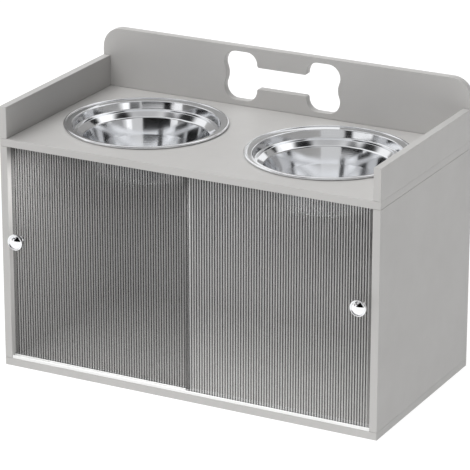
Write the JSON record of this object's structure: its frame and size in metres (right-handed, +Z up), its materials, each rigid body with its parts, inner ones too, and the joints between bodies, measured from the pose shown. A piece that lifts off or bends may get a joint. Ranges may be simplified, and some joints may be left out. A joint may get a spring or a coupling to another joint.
{
  "type": "double pet bowl",
  "caption": "Raised double pet bowl: a low cabinet with reeded sliding doors, lift-out steel bowls in its top, side guards and a back rail with a bone cut-out.",
  "frame": {"origin": "centre of the cabinet's footprint, on the floor", "axes": "+X to the right along the front, +Y to the back, +Z up"},
  "size_m": [0.62, 0.3373, 0.454],
  "materials": {
    "board": "light warm-grey matt lacquer on board",
    "bowl_steel": "polished spun stainless steel",
    "reeded_plastic": "clear reeded acrylic",
    "knob_chrome": "polished chrome plate",
    "screw_steel": "zinc-plated steel",
    "washer_plastic": "plain white nylon",
    "track_plastic": "white extruded plastic",
    "dowel_wood": "plain fluted beech",
    "cam_zinc": "die-cast zinc"
  },
  "bodies": {
    "cabinet": {"bottom_board": "board", "left_side_panel": "board", "right_side_panel": "board", "back_panel": "board", "top_board": "board", "left_guard": "board", "right_guard": "board", "back_rail": "board", "bottom_track": "track_plastic", "base_screws": "screw_steel", "guard_screws": "screw_steel", "rail_screws": "screw_steel", "wood_dowels": "dowel_wood", "cam_locks": "cam_zinc", "cam_bolts": "screw_steel"},
    "left_bowl_body": {"left_bowl": "bowl_steel"},
    "right_bowl_body": {"right_bowl": "bowl_steel"},
    "left_door_body": {"left_door": "reeded_plastic", "left_knob": "knob_chrome", "left_knob_screw": "screw_steel", "left_knob_washer": "washer_plastic"},
    "right_door_body": {"right_door": "reeded_plastic", "right_knob": "knob_chrome", "right_knob_screw": "screw_steel", "right_knob_washer": "washer_plastic"}
  },
  "joints": [
    {"name": "left_door_slide", "type": "slide", "parent": "cabinet", "child": "left_door_body", "axis": [1, 0, 0], "range_m": [0, 0.133]},
    {"name": "right_door_slide", "type": "slide", "parent": "cabinet", "child": "right_door_body", "axis": [-1, 0, 0], "range_m": [0, 0.133]},
    {"name": "left_bowl_lift", "type": "slide", "parent": "cabinet", "child": "left_bowl_body", "axis": [0, 0, 1], "range_m": [0, 0.18]},
    {"name": "right_bowl_lift", "type": "slide", "parent": "cabinet", "child": "right_bowl_body", "axis": [0, 0, 1], "range_m": [0, 0.18]}
  ]
}
